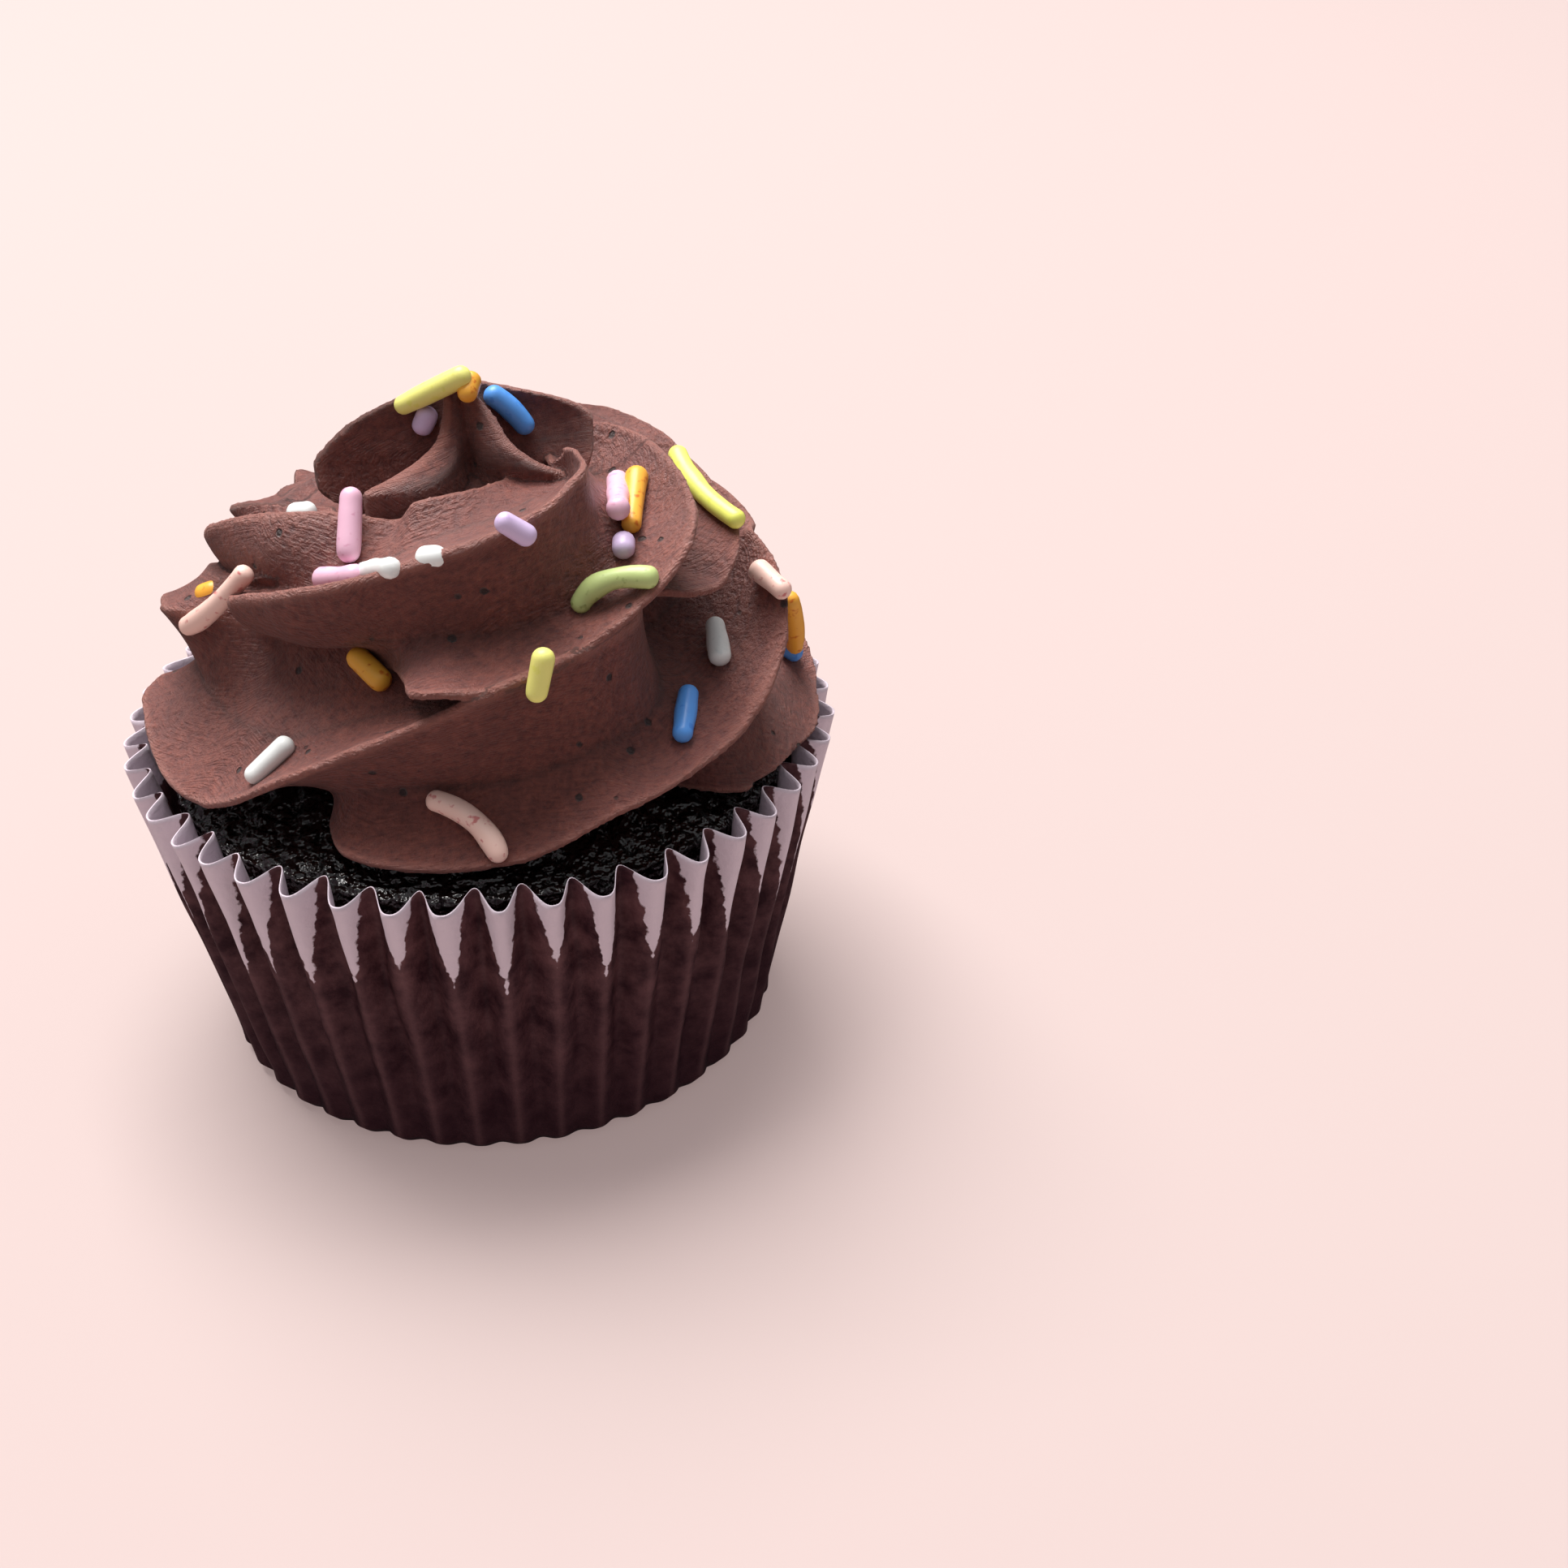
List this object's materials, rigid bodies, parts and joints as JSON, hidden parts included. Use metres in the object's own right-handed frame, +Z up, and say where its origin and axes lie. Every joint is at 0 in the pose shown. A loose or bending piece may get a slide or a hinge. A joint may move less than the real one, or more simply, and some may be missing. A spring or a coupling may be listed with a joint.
{
  "type": "cupcake",
  "caption": "Dark chocolate cupcake in a fluted paper case, with a tall piped chocolate frosting swirl and coloured rod sprinkles.",
  "frame": {"origin": "centre of the paper case's flat base, on the surface it stands on", "axes": "+Z up along the case's axis, -Y towards the side that the picture shows, +X to that side's right"},
  "size_m": [0.068, 0.068, 0.0682],
  "materials": {
    "soaked_paper": "matte",
    "chocolate_crumb": "glossy",
    "chocolate_frosting": "satin"
  },
  "bodies": {
    "root": {"paper_case": "soaked_paper", "sponge": "chocolate_crumb", "frosting": "chocolate_frosting"}
  },
  "joints": []
}
